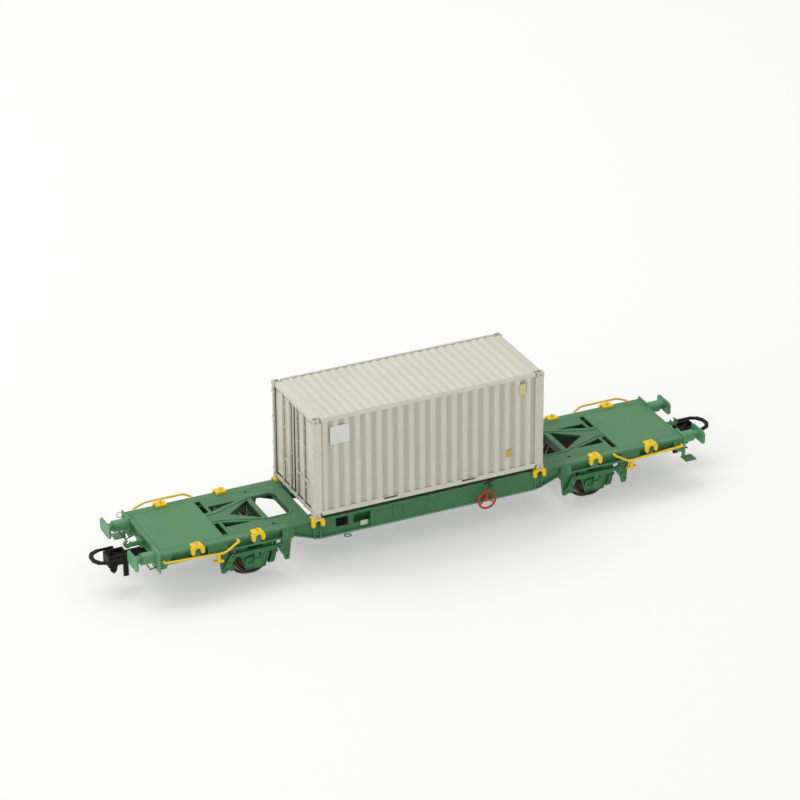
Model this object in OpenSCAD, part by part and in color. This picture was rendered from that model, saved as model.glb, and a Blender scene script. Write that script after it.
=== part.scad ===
// Two-axle container flat wagon, H0 scale model, carrying one 20 ft box container.
// Origin: middle of the wagon, on the surface that its wheel flanges stand on.
// +X along the wagon (the container's doors face -X), +Z up, millimetres.

/* [Wagon frame] */
// Length over the two headstocks
frame_len = 159.2; // [156:0.2:200]
// Width over the deck and side sills
frame_w = 27.0; // [26:0.5:33]
// Height of the loading plane above the surface the wheels stand on
load_height = 15.6; // [15.4:0.1:19]
// How far the deck lies below the loading plane
deck_drop = 0.6; // [0.4:0.1:1]
// Thickness of deck plates and flanges
plate_t = 0.7; // [0.5:0.1:0.9]
// Thickness of the middle beams' bottom flanges
flange_t = 0.4; // [0.3:0.1:0.7]
// Thickness of webs
web_t = 0.6; // [0.4:0.1:0.8]
// Depth of the side sills
sill_h = 3.4; // [3:0.1:3.8]
// Width of the side sills' flanges
sill_w = 2.4; // [2.2:0.1:2.8]
// Length of the closed deck plate at each end
deck_plate_len = 19.6; // [15:0.2:22]
// Depth of the middle beams
belly_h = 6.1; // [5:0.1:7]
// Width of the middle beams' top flange under the container
beam_w = 4.0; // [3:0.1:5]
// Depth of the headstocks at the buffers
headstock_h = 4.4; // [4:0.1:5]

/* [Running gear] */
// Distance between the axles
wheelbase = 103.4; // [100:0.2:125]
// Diameter of the wheel treads
tread_d = 10.6; // [8.8:0.1:11]
// Depth of the wheel flanges
flange_depth = 1.2; // [0.6:0.1:1.2]
// Width of a wheel
wheel_w = 2.9; // [2.4:0.1:3.1]
// Distance between the backs of the wheels
back_to_back = 14.4; // [14.2:0.1:14.8]
// Diameter of the axles
axle_d = 2.0; // [1.5:0.1:3]
// Diameter of the axle journals
journal_d = 1.2; // [1:0.1:1.5]
// Play between a journal and its bearing, on the radius
journal_play = 0.1; // [0.05:0.01:0.2]
// Gap between a brake block and the tread
brake_gap = 0.5; // [0.3:0.05:0.8]

/* [Buffers and couplers] */
// Length of a buffer, from headstock to face
buffer_len = 6.7; // [5:0.1:7.5]
// Distance between the buffers' centres
buffer_gauge = 20.4; // [20:0.1:21]
// Height of the buffers' centres
buffer_z = 13.2; // [12.8:0.1:13.4]
// Width of a buffer head
buffer_head_w = 7.4; // [5:0.1:7.6]
// Height of a buffer head
buffer_head_h = 3.9; // [3:0.1:5]
// Thickness of a buffer head
buffer_head_t = 0.45; // [0.3:0.05:0.9]
// Height of the couplers' middle plane
coupler_z = 9.9; // [9.4:0.1:10.1]
// Distance from headstock to the coupler's front plate
coupler_reach = 10.4; // [9:0.1:11]
// Width inside a coupler's loop
loop_w = 7.2; // [6:0.1:7.4]
// Thickness of the loop
loop_d = 0.6; // [0.5:0.05:0.8]
// Play between the loop's pins and their holes, on the radius
pin_play = 0.08; // [0.05:0.01:0.12]

/* [Twist locks] */
// Place of the locks for 30 ft containers, from the middle
lock_30_x = 51.25; // [48:0.05:54]
// Place of the locks for 40 ft containers, from the middle
lock_40_x = 68.88; // [66:0.05:72]

/* [Container] */
// Length of the container
box_l = 69.6; // [66:0.1:84]
// Width of the container
box_w = 28.0; // [27:0.1:30]
// Height of the container
box_h = 29.8; // [24:0.1:36]
// Thickness of the container's walls
wall_t = 0.9; // [0.8:0.05:1.2]
// Depth of the side walls' corrugations
rib_depth = 0.41; // [0.2:0.01:0.45]
// Number of corrugations along a side
side_ribs = 20; // [12:1:26]
// Number of ribs across the roof
roof_ribs = 24; // [12:1:30]
// Width of the corner posts seen from the side
post_w = 2.6; // [2.2:0.1:3]
// Gap round the door leaves
door_gap = 0.2; // [0.1:0.01:0.3]

/* [Hidden] */
$fn = 32;
eps = 0.01;

// Colours
green = "#3f7d4c";
deck_green = "#6f9a78";
spring_green = "#34704a";
yellow = "#e6b920";
black = "#1c1b1d";
wheel_brown = "#4a3830";
red = "#a8261e";
box_grey = "#cfcdbd";
door_grey = "#dcdac6";
label_yellow = "#cdbb63";

// Levels, all from the surface the wheels stand on
axle_z = tread_d / 2 + flange_depth;
load_z = load_height;
deck_z = load_z - deck_drop;
sill_z = deck_z - sill_h;
belly_z = deck_z - belly_h;
box_top = load_z + box_h;

// Places along and across the wagon
half_len = frame_len / 2;
half_w = frame_w / 2;
axle_x = wheelbase / 2;
box_half = box_l / 2;
box_y = box_w / 2;
plate_x = half_len - deck_plate_len;
bay_x = box_half - 0.1;
beam_x = bay_x + 7.8;
belly_x = beam_x - 9.5;
slope_x = beam_x - 2;
sill_end_x = half_len - 1.2;
web_y = half_w - 1.3;
deck_y = half_w - sill_w;
seam = 0.12;
wheel_y = back_to_back / 2;
guard_y = half_w - 1.3;

// Twist locks stand under the middles of a container's corner castings
casting = [2.05, 1.86, 1.36];
lock_20_x = box_half - casting[0] / 2 - 0.13;
lock_y = box_y - 1.01;

// Ends of the cover plate on a middle beam
cover_x = [17.6, lock_20_x - 1.15];

// ---- Helpers ----

// Turns its children half way round for the left end
module at_end(side) {
    rotate([0, 0, side > 0 ? 0 : 180])
        children();
}

module both_sides() {
    children();
    mirror([0, 1, 0])
        children();
}

module both_ends() {
    children();
    mirror([1, 0, 0])
        children();
}

module four_corners() {
    both_ends()
        both_sides()
            children();
}

// Box between a low and a high corner
module block(lo, hi) {
    translate(lo)
        cube(hi - lo);
}

// Rectangle round the origin with round corners
module rounded_rect(w, h, r) {
    square([w - 2 * r, h], center = true);
    square([w, h - 2 * r], center = true);
    for (x = [-1, 1] * (w / 2 - r), y = [-1, 1] * (h / 2 - r))
        translate([x, y])
            circle(r);
}

// Plate in the XZ plane, from y inwards by its thickness
module side_plate(y, t) {
    translate([0, y, 0])
        rotate([90, 0, 0])
            linear_extrude(height = t)
                children();
}

// Cylinder along +Y from y0 to y1
module cross_pin(x, z, r, y0, y1) {
    translate([x, y0, z])
        rotate([-90, 0, 0])
            cylinder(r = r, h = y1 - y0);
}

function unit(v) = v / norm(v);

// Direction of a wire at its point i
function heading(p, i) =
    i == 0 ? unit(p[1] - p[0])
    : i == len(p) - 1 ? unit(p[i] - p[i - 1])
    : unit(unit(p[i + 1] - p[i]) + unit(p[i] - p[i - 1]));

// How far a mitred ring is stretched at point i
function mitre(p, i) =
    i == 0 || i == len(p) - 1 ? 1 : 1 / (heading(p, i) * unit(p[i] - p[i - 1]));

// Bent wire through points that lie in one plane with the given normal
module wire(points, d, normal, sides = 10) {
    n = len(points);
    rings = [for (i = [0 : n - 1])
        let (side = unit(cross(heading(points, i), normal)), up = cross(side, heading(points, i)))
        for (k = [0 : sides - 1])
            points[i] + d / 2 * (cos(360 * k / sides) * mitre(points, i) * side
                + sin(360 * k / sides) * up)];
    walls = [for (i = [0 : n - 2], k = [0 : sides - 1])
        let (a = i * sides + k, b = i * sides + (k + 1) % sides)
        each [[a, b, b + sides], [a, b + sides, a + sides]]];
    first = [for (k = [sides - 1 : -1 : 0]) k];
    last = [for (k = [0 : sides - 1]) (n - 1) * sides + k];
    polyhedron(points = rings, faces = concat(walls, [first], [last]), convexity = 4);
}

// ---- Frame ----

// Outline of a middle beam in the XZ plane, inset from its top and bottom
module beam_outline(top, low) {
    polygon([[-beam_x, deck_z - top], [beam_x, deck_z - top], [beam_x, sill_z + low],
        [slope_x, sill_z + low], [belly_x, belly_z + low], [-belly_x, belly_z + low],
        [-slope_x, sill_z + low], [-beam_x, sill_z + low]]);
}

// Channel that stands below a 20 ft twist lock
module lock_post() {
    w = 2.3;
    block([-w / 2, half_w - 0.75, belly_z + flange_t - eps], [w / 2, half_w - 0.5, load_z - 1.9]);
    both_ends()
        block([w / 2 - 0.35, half_w - 0.75, belly_z + flange_t - eps],
            [w / 2, half_w, load_z - 1.9]);
}

// Part of the bracket over the joint between a middle beam and a sill
module bracket_part(x0, x1) {
    block([x0, half_w - 0.6, sill_z - 0.3], [x1, half_w + 0.05, deck_z - 0.4]);
}

module side_beam() {
    difference() {
        side_plate(half_w, sill_w)
            beam_outline(0, 0);
        side_plate(web_y, sill_w)
            beam_outline(plate_t, flange_t);
        side_plate(half_w + eps, half_w - web_y - web_t + eps)
            beam_outline(plate_t, flange_t);
        // open pocket beside the cover plate
        block([-cover_x[0] - 5, web_y - 1, belly_z + 2.3], [-cover_x[0], half_w, deck_z - plate_t]);
    }
    // wider top flange under the container
    block([-bay_x + 0.1, half_w - beam_w, deck_z - plate_t],
        [bay_x - 0.1, half_w - sill_w + eps, deck_z]);
    // cover plate with a square hatch and an upright joint
    difference() {
        block([-cover_x[0], web_y + web_t - eps, belly_z + flange_t - eps],
            [cover_x[1], half_w - 0.3, deck_z - plate_t + eps]);
        translate([-9.35, half_w - 0.4, deck_z - 2.55])
            difference() {
                cube([3.4, 1, 3.5], center = true);
                cube([3.1, 2, 3.2], center = true);
            }
        for (x = [-1.1, -0.4])
            block([x, half_w - 0.45, belly_z], [x + 0.2, half_w, deck_z]);
    }
    both_ends()
        bracket_part(beam_x - 1.9, beam_x);
    for (x = [-1, 1] * lock_20_x)
        translate([x, 0, 0])
            lock_post();
}

module side_beams() {
    color(green)
        for (a = [0, 180])
            rotate([0, 0, a])
                mirror([0, 1, 0])
                    side_beam();
}

cross_x = [-24, -8, 8, 24];
flange_w = 2.2;
module cross_members() {
    depth = 3.2;
    color(green)
        for (x = cross_x) {
            block([x - web_t / 2, -web_y + web_t, deck_z - plate_t - depth],
                [x + web_t / 2, web_y - web_t, deck_z - plate_t]);
            block([x - flange_w / 2, -web_y + web_t, deck_z - plate_t - depth],
                [x + flange_w / 2, web_y - web_t, deck_z - plate_t - depth + 0.5]);
        }
}

// Places in the open part of the right end's frame
hex_x = [bay_x + 3.5, bay_x + 4.7, bay_x + 10.3];
bar_x = hex_x[2] + 1.5;
arm_x = bar_x + 2.7;
slot_x = plate_x - 1.5;
tri_x = plate_x - 2.4;
apex_x = plate_x - 6.1;
arm_y = 6.4;
hex_y = 5.2;
hub_y = 3.5;

// Openings on one side of the centre line
module side_openings() {
    translate([slot_x, hub_y - 0.2])
        square([plate_x - slot_x + 1, 7]);
    polygon([[tri_x, hub_y], [tri_x, arm_y], [arm_x, arm_y]]);
}

module middle_openings() {
    polygon([[apex_x, 0], [bar_x, arm_y - 0.9], [bar_x, -arm_y + 0.9]]);
    polygon([[hex_x[2], arm_y - 0.1], [hex_x[1], arm_y], [hex_x[0], hex_y],
        [hex_x[0], -hex_y], [hex_x[1], -arm_y], [hex_x[2], -arm_y + 0.1]]);
}

// Shallow grooves where a deck piece meets the sills, and its neighbour at x1
module edge_grooves(x0, x1) {
    both_sides()
        block([x0 - 1, deck_y - seam, deck_z - seam], [x1 + 1, deck_y + 1, deck_z + 1]);
    block([x1 - seam, -half_w, deck_z - seam], [x1 + 1, half_w, deck_z + 1]);
}

// Upright web below the deck between two points of its plan
module under_web(a, b, depth) {
    along = unit(b - a);
    across = web_t / 2 * [-along[1], along[0]];
    translate([0, 0, deck_z - plate_t - depth])
        linear_extrude(height = depth + eps)
            polygon([a - across, b - across, b + across, a + across]);
}

module open_frame() {
    difference() {
        translate([0, 0, deck_z - plate_t])
            linear_extrude(height = plate_t)
                difference() {
                    translate([bay_x, -deck_y])
                        square([plate_x - bay_x, 2 * deck_y]);
                    both_sides()
                        side_openings();
                    middle_openings();
                }
        // grooves along the diagonal arms, and small round holes
        both_sides() {
            translate([0, 0, deck_z - seam])
                linear_extrude(height = 1)
                    polygon([[plate_x - 1, hub_y - 1.1], [tri_x, hub_y - 1.1], [arm_x - 2, arm_y - 0.6],
                        [arm_x - 2, arm_y - 0.75], [tri_x, hub_y - 1.25], [plate_x - 1, hub_y - 1.25]]);
            translate([hex_x[2], deck_y - 1.2, deck_z - plate_t - 1])
                cylinder(r = 0.45, h = 3);
        }
        edge_grooves(bay_x, plate_x);
    }
    depth = 2.4;
    both_sides() {
        under_web([tri_x - 0.2, hub_y - 0.9], [bar_x + 0.4, arm_y - 0.6], depth);
        under_web([bay_x + 0.3, deck_y - 3], [hex_x[0] - 0.5, deck_y - 3], depth);
        under_web([tri_x - 0.3, hub_y - 0.6], [plate_x, hub_y - 0.6], depth);
    }
    under_web([hex_x[2] + 0.75, -arm_y], [hex_x[2] + 0.75, arm_y], depth);
    under_web([bay_x + 0.3, -deck_y], [bay_x + 0.3, deck_y], depth);
    under_web([hex_x[0] - 0.3, -deck_y], [hex_x[0] - 0.3, deck_y], 1.2);
}

module open_frame_left() {
    color(deck_green)
        at_end(-1)
            open_frame();
}

module open_frame_right() {
    color(deck_green)
        at_end(1)
            open_frame();
}

// Pin that the coupler swings on, below the closed deck
pivot_x = half_len - 4;
pivot_r = 0.5;

module deck_plate() {
    difference() {
        block([plate_x, -deck_y, deck_z - plate_t], [sill_end_x, deck_y, deck_z]);
        edge_grooves(plate_x, sill_end_x);
    }
    both_sides()
        under_web([plate_x, hub_y - 0.6], [sill_end_x, hub_y - 0.6], 2.6);
    for (x = [plate_x + 5, plate_x + 11])
        under_web([x, -hub_y + 0.6], [x, hub_y - 0.6], 2);
    translate([pivot_x, 0, coupler_z - 0.9])
        cylinder(r = pivot_r, h = deck_z - plate_t - coupler_z + 0.9 + eps);
    translate([pivot_x, 0, coupler_z + 0.85])
        cylinder(r = 1.5, h = deck_z - plate_t - coupler_z - 0.85 + eps);
    translate([pivot_x, 0, coupler_z - 1.2])
        cylinder(r = 0.9, h = 0.35);
}

module deck_plate_left() {
    color(deck_green)
        at_end(-1)
            deck_plate();
}

module deck_plate_right() {
    color(deck_green)
        at_end(1)
            deck_plate();
}

// Outward-facing channel along one side of an end platform
module side_sill() {
    outer = half_w - 0.1;
    block([beam_x, half_w - sill_w, deck_z - plate_t], [sill_end_x, half_w, deck_z]);
    block([beam_x, half_w - sill_w, sill_z], [sill_end_x, half_w, sill_z + 0.5]);
    block([beam_x, web_y - web_t, sill_z + eps], [sill_end_x, web_y, deck_z - eps]);
    bracket_part(beam_x, beam_x + 1.4);
    // cover plate, and posts below the twist locks
    block([plate_x - 0.2, web_y - eps, sill_z + 0.3], [plate_x + 5.6, outer - 0.2, deck_z - eps]);
    for (x = [lock_30_x, lock_40_x])
        block([x - 1, web_y - eps, sill_z + eps], [x + 1, outer, deck_z - eps]);
    // end gusset at the headstock
    side_plate(outer, 0.5)
        polygon([[sill_end_x - 2.6, deck_z - 0.3], [sill_end_x, deck_z - 0.3],
            [sill_end_x, deck_z - headstock_h], [sill_end_x - 0.6, deck_z - headstock_h]]);
}

module side_sills_left() {
    color(green)
        mirror([1, 0, 0])
            both_sides()
                side_sill();
}

module side_sills_right() {
    color(green)
        both_sides()
            side_sill();
}

module headstock() {
    mid_h = 3.4;
    // channel open to the front
    block([sill_end_x, -half_w, deck_z - mid_h], [half_len - 0.6, half_w, deck_z]);
    block([half_len - 0.6 - eps, -half_w, deck_z - plate_t], [half_len, half_w, deck_z]);
    block([half_len - 0.6 - eps, -half_w, deck_z - mid_h], [half_len, half_w, deck_z - mid_h + 0.6]);
    // plates behind the buffers
    both_sides()
        block([sill_end_x, buffer_gauge / 2 - 2.7, deck_z - headstock_h], [half_len, half_w, deck_z - eps]);
    // guide of the draw hook
    block([half_len - 0.7, -1.5, buffer_z - 1.6], [half_len + 0.9, 1.5, buffer_z + 0.5]);
}

module headstocks() {
    color(green)
        for (e = [-1, 1])
            at_end(e)
                headstock();
}

module buffer() {
    rotate([0, 90, 0]) {
        cylinder(d = 3.3, h = buffer_len - 2.3);
        cylinder(d = 2.3, h = buffer_len - buffer_head_t / 2);
    }
    block([0, -2.1, -1.7], [0.5, 2.1, 1.7]);
    translate([buffer_len - buffer_head_t, 0, 0])
        rotate([90, 0, 90])
            linear_extrude(height = buffer_head_t)
                rounded_rect(buffer_head_w, buffer_head_h, 1.2);
}

module buffers() {
    color(green)
        four_corners()
            translate([half_len, buffer_gauge / 2, buffer_z])
                buffer();
}

module draw_hook() {
    translate([half_len + 0.9, 0, buffer_z - 0.9])
        side_plate(0.45, 0.9)
            difference() {
                union() {
                    translate([0, -0.4])
                        square([3, 1.1]);
                    translate([3.2, 0.55])
                        circle(r = 1.15);
                }
                translate([3.0, 0.95])
                    circle(r = 0.55);
                translate([2.3, 0.95])
                    square([0.8, 2]);
            }
}

module draw_hooks() {
    color(green)
        for (e = [-1, 1])
            at_end(e)
                draw_hook();
}

// ---- Running gear ----

module axle_guard() {
    foot_z = axle_z - 2.4;
    side_plate(guard_y + 0.3, 0.7)
        difference() {
            polygon([[-5.4, sill_z], [5.4, sill_z], [2.8, foot_z], [-2.8, foot_z]]);
            translate([-1.65, axle_z - 1.9])
                square([3.3, 3.75]);
            translate([-2.3, spring_z + 1.1])
                square([4.6, sill_z - spring_z - 1.4]);
        }
    // raised rim along the foot and the slanting edges
    block([-2.8, guard_y + 0.2, foot_z], [2.8, guard_y + 0.55, foot_z + 0.3]);
    both_ends()
        side_plate(guard_y + 0.55, 0.35)
            polygon([[5.1, sill_z - 0.6], [2.8, foot_z], [2.45, foot_z], [4.75, sill_z - 0.6]]);
}

module axle_guards() {
    color(spring_green)
        for (x = [-axle_x, axle_x])
            translate([x, 0, 0])
                both_sides()
                    axle_guard();
}

// Leaf spring with a slanted shackle at each end, outside the axle guard
spring_z = axle_z + 2.7;
module leaf_spring() {
    outer = guard_y + 1.15;
    holes = [[6.9, spring_z + 0.5], [7.9, axle_z + 1.7], [8.9, axle_z - 0.1]];
    side_plate(outer, 0.6)
        polygon([[-7.2, spring_z + 0.15], [-4.5, spring_z - 0.25], [4.5, spring_z - 0.25],
            [7.2, spring_z + 0.15], [7.2, spring_z + 1], [-7.2, spring_z + 1]]);
    block([-6.2, outer - 0.6, spring_z + 0.75], [6.2, outer + 0.25, spring_z + 1.05]);
    // buckle strap, and its two stays back to the axle guard
    block([-0.65, outer - 0.1, axle_z + 1.3], [0.65, outer + 0.35, spring_z + 1.2]);
    for (x = [-3.6, 3])
        block([x, guard_y + 0.3, spring_z - 0.1], [x + 0.6, outer - 0.3, spring_z + 0.7]);
    both_ends() {
        difference() {
            union() {
                side_plate(outer + 0.35, 0.4)
                    polygon([holes[0] + [-0.8, -0.3], holes[2] + [-0.7, -0.4],
                        holes[2] + [0.75, 0.1], holes[0] + [0.75, 0.4]]);
                for (b = [holes[0], holes[2]])
                    cross_pin(b[0], b[1], 0.8, outer - 0.55, outer + 0.4);
            }
            for (b = holes)
                cross_pin(b[0], b[1], 0.28, outer - 0.1, outer + 1);
        }
        // bracket from the sill down to the shackle's lower eye
        side_plate(guard_y + 0.65, 0.9)
            polygon([[7.5, sill_z], [10.8, sill_z], [10.4, sill_z - 2.2], [9.9, axle_z - 1.8],
                [8.7, axle_z - 1.8], [8, axle_z + 1.6]]);
    }
}

module leaf_springs() {
    color(spring_green)
        for (x = [-axle_x, axle_x])
            translate([x, 0, 0])
                both_sides()
                    leaf_spring();
}

// Box with a round cover, and a blind bore that the journal turns in
module axle_box() {
    difference() {
        union() {
            block([-1.65, guard_y - 1.0, -1.8], [1.65, guard_y + 0.7, 1.75]);
            side_plate(guard_y + 1.0, 0.5)
                polygon([[-3.2, -0.4], [-2.4, -1.5], [1.3, -1.5], [2, -0.6], [2, 0.9], [1.3, 1.5],
                    [-2.4, 1.5], [-3.2, 0.8]]);
            cross_pin(0, 0, 1.3, guard_y, guard_y + 1.9);
        }
        cross_pin(0, 0, journal_d / 2 + journal_play, guard_y - 1.1, guard_y + 0.45);
        cross_pin(-2.2, 0.2, 0.4, guard_y + 0.7, guard_y + 2);
    }
}

module axle_boxes() {
    color(spring_green)
        for (x = [-axle_x, axle_x])
            translate([x, 0, axle_z])
                both_sides()
                    axle_box();
}

// Two blocks on a beam with their hangers, on one side of an axle
module brake_rig() {
    inner_r = tread_d / 2 + brake_gap;
    hang_z = deck_z - plate_t;
    both_sides() {
        intersection() {
            difference() {
                cross_pin(0, axle_z, inner_r + 1.4, wheel_y + 1, wheel_y + wheel_w);
                cross_pin(0, axle_z, inner_r, wheel_y, wheel_y + wheel_w + 1);
            }
            block([3, wheel_y, axle_z - 3.2], [9, wheel_y + 4, axle_z + 1]);
        }
        block([inner_r + 0.9, wheel_y + 1.7, axle_z - 0.6], [inner_r + 1.8, wheel_y + 2.2, hang_z]);
    }
    cross_pin(inner_r + 1.5, axle_z, 0.45, -wheel_y - wheel_w, wheel_y + wheel_w);
}

module brake_gear() {
    color(spring_green)
        for (x = [-axle_x, axle_x])
            translate([x, 0, 0])
                both_ends()
                    brake_rig();
}

// Brake cylinder hung between two cross members
module brake_cylinder() {
    color(spring_green)
        translate([0, -3, deck_z - 4.4])
            rotate([0, 90, 0]) {
                translate([0, 0, cross_x[1] + flange_w / 2])
                    cylinder(d = 4.2, h = 7);
                translate([0, 0, -1])
                    cylinder(d = 1.04, h = 9);
            }
}

// Axle, wheels with treads and flanges, and journals, turned about one axis
module wheelset() {
    r = tread_d / 2;
    f = r + flange_depth;
    rim = wheel_y + wheel_w;
    tip = guard_y + 0.3;
    half = [[axle_d / 2, 0], [axle_d / 2, wheel_y], [f - 0.25, wheel_y], [f, wheel_y + 0.2],
        [f, wheel_y + 0.5], [r + 0.05, wheel_y + 0.95], [r - 0.1, rim - 0.15], [r - 0.25, rim],
        [r - 0.9, rim], [r - 1.3, rim - 0.6], [1.6, rim - 0.4], [1.4, rim + 0.15],
        [journal_d / 2, rim + 0.15], [journal_d / 2, tip], [0, tip]];
    rotate([90, 0, 0])
        rotate_extrude($fn = 64)
            polygon(concat([for (i = [len(half) - 1 : -1 : 1]) [half[i][0], -half[i][1]]],
                [for (i = [1 : len(half) - 1]) half[i]]));
}

module wheelset_left() {
    color(wheel_brown)
        translate([-axle_x, 0, axle_z])
            wheelset();
}

module wheelset_right() {
    color(wheel_brown)
        translate([axle_x, 0, axle_z])
            wheelset();
}

// ---- Couplers ----

face_x = half_len + coupler_reach;
cheek_y = [1.5, 2.3];
loop_x = face_x - 3.2;
loop_up = 0.7;
loop_pin_r = 0.3;

module coupler() {
    back_x = face_x - 5.6;
    translate([0, 0, coupler_z]) {
        // shank with the bore that it swings on
        difference() {
            union() {
                translate([pivot_x, 0, -0.75])
                    cylinder(r = 1.4, h = 1.5);
                block([pivot_x, -1.1, -0.75], [back_x + 0.1, 1.1, 0.75]);
            }
            translate([pivot_x, 0, -2])
                cylinder(r = pivot_r + journal_play, h = 4);
        }
        // head: back, cheeks bored for the loop, front plate
        block([back_x, -cheek_y[1], -1.6], [back_x + 0.8, cheek_y[1], 1.2]);
        both_sides()
            difference() {
                block([back_x, cheek_y[0], -1.6], [face_x - 0.5, cheek_y[1], 1.25]);
                cross_pin(loop_x, loop_up, loop_pin_r + pin_play, 0, 4);
            }
        block([face_x - 0.8, -cheek_y[1], -1.9], [face_x, cheek_y[1], 1.1]);
        // hook with its barb, and the two tails below
        side_plate(0.4, 0.8)
            polygon([[face_x - 5, -1.4], [face_x - 0.7, -1.4], [face_x - 0.7, 1.0], [face_x - 1.4, 2.5],
                [face_x - 2.2, 2.5], [face_x - 2.0, 1.3], [face_x - 3.3, 0.8], [face_x - 5, 0.5]]);
        side_plate(0.5, 1)
            polygon([[face_x - 3.4, -1.4], [face_x - 0.9, -1.4], [face_x - 1.2, -4.2], [face_x - 2, -5],
                [face_x - 2.8, -4.2]]);
        block([back_x - 0.9, -0.9, -6.9], [back_x + 0.5, -0.2, -0.6]);
    }
}

module coupler_left() {
    color(black)
        at_end(-1)
            coupler();
}

module coupler_right() {
    color(black)
        at_end(1)
            coupler();
}

// D-shaped outline of the loop, inset from its outer edge
loop_tip_x = face_x + 4.4;
module loop_outline(inset) {
    w = loop_w / 2 + loop_d - inset;
    x = loop_tip_x - inset;
    polygon([[loop_x - 0.4, -w], [x - 3, -w], [x - 1, -w + 1], [x, -w + 2.8],
        [x, w - 2.8], [x - 1, w - 1], [x - 3, w], [loop_x - 0.4, w]]);
}

module coupler_loop() {
    translate([0, 0, coupler_z + loop_up - loop_d / 2])
        linear_extrude(height = loop_d)
            difference() {
                loop_outline(0);
                translate([-0.4, 0])
                    loop_outline(loop_d);
            }
    both_sides()
        cross_pin(loop_x, coupler_z + loop_up, loop_pin_r, cheek_y[0] + 0.1, loop_w / 2 + 0.1);
}

module coupler_loop_left() {
    color(black)
        at_end(-1)
            coupler_loop();
}

module coupler_loop_right() {
    color(black)
        at_end(1)
            coupler_loop();
}

// ---- Fittings on the wagon ----

// Plate and spigot on the deck, and a fork that grips the sill's edge
module twist_lock() {
    outer = half_w + 0.8;
    block([-1.5, lock_y - 1.3, deck_z], [1.5, outer, load_z]);
    translate([0, lock_y, load_z - eps]) {
        cylinder(r = 0.5, h = 0.15);
        cylinder(r1 = 0.42, r2 = 0.18, h = 0.95);
    }
    side_plate(outer, 0.75)
        difference() {
            union() {
                polygon([[-1.5, load_z - eps], [1.5, load_z - eps], [1.95, load_z - 0.6], [1.95, load_z - 1.9],
                    [-1.95, load_z - 1.9], [-1.95, load_z - 0.6]]);
                for (x = [-1.4, 1.4])
                    translate([x, load_z - 1.9])
                        circle(r = 0.55);
            }
            translate([0, load_z - 1.45])
                circle(r = 0.85);
            translate([-0.85, load_z - 3])
                square([1.7, 1.55]);
        }
}

module lock_set(x) {
    color(yellow)
        four_corners()
            translate([x, 0, 0])
                twist_lock();
}

module twist_locks_20ft() {
    lock_set(lock_20_x);
}

module twist_locks_30ft() {
    lock_set(lock_30_x);
}

module twist_locks_40ft() {
    lock_set(lock_40_x);
}

rail_y = half_w + 1.3;
rail_d = 0.62;

// Rails that run below the deck's edge on the near side
module handrails_near() {
    a = half_len - 0.8;
    color(yellow)
        both_ends()
            mirror([0, 1, 0]) {
                wire([[a, rail_y, load_z - 2.5], [plate_x + 8, rail_y, load_z - 3.05],
                    [plate_x + 2.6, rail_y, load_z - 3.45], [plate_x + 1.6, rail_y, load_z - 3.4],
                    [plate_x + 0.7, rail_y, load_z - 3.05], [plate_x - 2.8, rail_y, load_z - 0.9]],
                    rail_d, [0, 1, 0]);
                wire([[plate_x - 2.8, rail_y + 0.1, load_z - 0.95], [plate_x - 2.8, half_w, load_z - 0.95]],
                    rail_d, [0, 0, 1]);
                wire([[a - 0.2, rail_y + 0.1, load_z - 2.5], [a - 0.2, half_w, load_z - 2.5]],
                    rail_d, [0, 0, 1]);
            }
}

// Rails that stand a little above the deck's edge on the far side
module handrails_far() {
    color(yellow)
        both_ends() {
            wire([[plate_x + 16.3, rail_y, load_z - 1.1], [plate_x + 13.9, rail_y, load_z - 0.1],
                [plate_x + 12.7, rail_y, load_z + 0.25], [plate_x + 2, rail_y, load_z + 0.25],
                [plate_x + 1, rail_y, load_z], [plate_x - 0.8, rail_y, load_z - 1.05]],
                rail_d, [0, 1, 0]);
            for (x = [plate_x + 16.2, plate_x - 0.8])
                wire([[x, rail_y + 0.1, load_z - 0.95], [x, half_w, load_z - 0.95]], rail_d, [0, 0, 1]);
        }
}

module change_over_handles() {
    x = plate_x + 2.8;
    y = half_w + 0.2;
    color(yellow)
        four_corners() {
            block([x - 0.45, web_y + 0.9, load_z - 6.2], [x + 0.45, y + 0.3, sill_z]);
            block([x - 1.4, web_y + 0.9, load_z - 6.7], [x + 1.4, y + 0.3, load_z - 5.9]);
        }
}

// Dished handwheels, one on each side
module brake_wheels() {
    rim_r = 2.6;
    color(red)
        for (e = [-1, 1])
            at_end(e)
                translate([17.0, -half_w, load_z - 5.4])
                    rotate([90, 0, 0]) {
                        translate([0, 0, 1.35])
                            rotate_extrude($fn = 48)
                                translate([rim_r, 0])
                                    circle(d = 0.6, $fn = 12);
                        translate([0, 0, -0.3])
                            cylinder(d = 1.2, h = 1.1);
                        for (k = [90, 210, 330])
                            rotate([0, 0, k])
                                wire([[0.2, 0, 0.5], [rim_r, 0, 1.35]], 0.42, [0, 1, 0], 8);
                    }
}

module corner_steps() {
    color(green)
        for (e = [-1, 1])
            at_end(e) {
                block([half_len, -half_w, load_z - 7.4], [half_len + 0.5, -half_w + 1.1, deck_z - 0.5]);
                block([half_len, -half_w - 1.7, load_z - 7.7], [half_len + 3.3, -half_w + 1.5, load_z - 7.3]);
            }
}

module shunter_handles() {
    y = [buffer_gauge / 2 - 3.3, buffer_gauge / 2 + 1.6];
    color(black)
        four_corners()
            wire([[half_len, y[0], deck_z - 4], [half_len + 2.1, y[0], deck_z - 4.6],
                [half_len + 2.1, y[1], deck_z - 4.6], [half_len, y[1], deck_z - 4]], 0.35, [0.27, 0, 1]);
}

// ---- Container ----

skin_y = box_y - 0.1;
roof_z = box_top - 0.1;
rail_top_h = 0.9;
rail_bottom_h = 2.0;
rail_gap = 0.6;
pocket_x = 11.8;
pocket_w = 4.1;

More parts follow.
